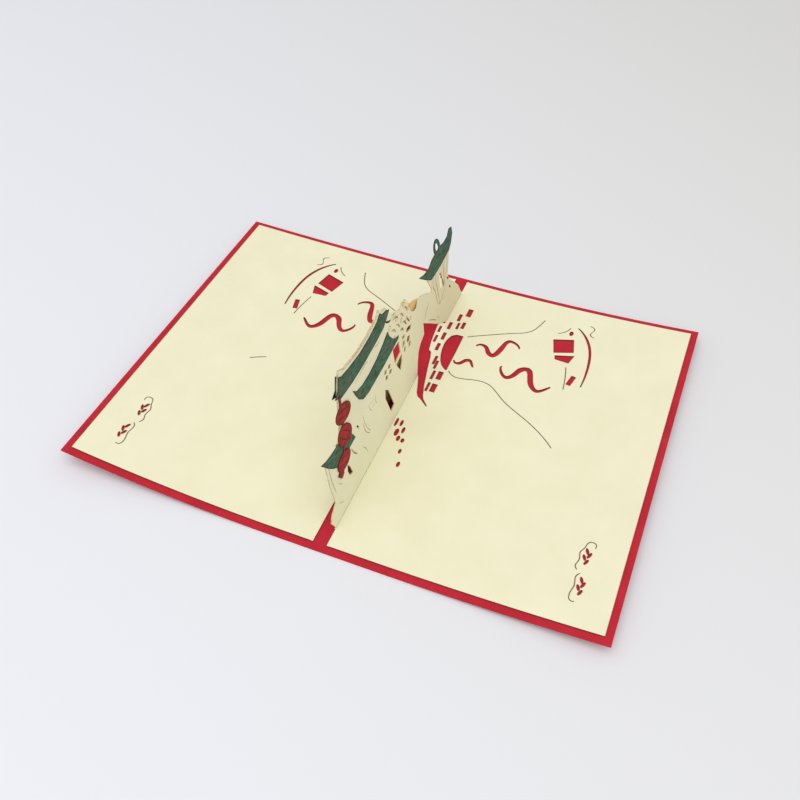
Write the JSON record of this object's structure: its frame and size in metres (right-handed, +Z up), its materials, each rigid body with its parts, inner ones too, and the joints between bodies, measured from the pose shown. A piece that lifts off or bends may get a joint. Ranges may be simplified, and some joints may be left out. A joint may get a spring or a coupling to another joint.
{
  "type": "pop up card",
  "caption": "Folded greeting card laid open, with a cut-paper pavilion that stands up along its fold and cut-out waves and boats in both inner leaves.",
  "frame": {"origin": "middle of the opened card on the table, on the fold line, at the underside of the cover", "axes": "+X to the right across the opened card, +Y along the fold towards the tower, +Z up from the table"},
  "size_m": [0.2, 0.148, 0.0636],
  "materials": {
    "red_card": "matt dyed card",
    "cream_card": "matt cream card, cut edges browned by the laser",
    "green_paper": "matt green paper with darker cut edges",
    "lantern_paper": "matt dark red paper"
  },
  "bodies": {
    "root": {"red_cover": "red_card", "right_leaf": "cream_card", "left_leaf": "cream_card", "right_lower_roof": "green_paper", "right_middle_roof": "green_paper", "right_upper_roof": "green_paper", "right_tower_roof": "green_paper", "left_middle_roof": "green_paper", "left_upper_roof": "green_paper", "right_lanterns": "lantern_paper"}
  },
  "joints": []
}
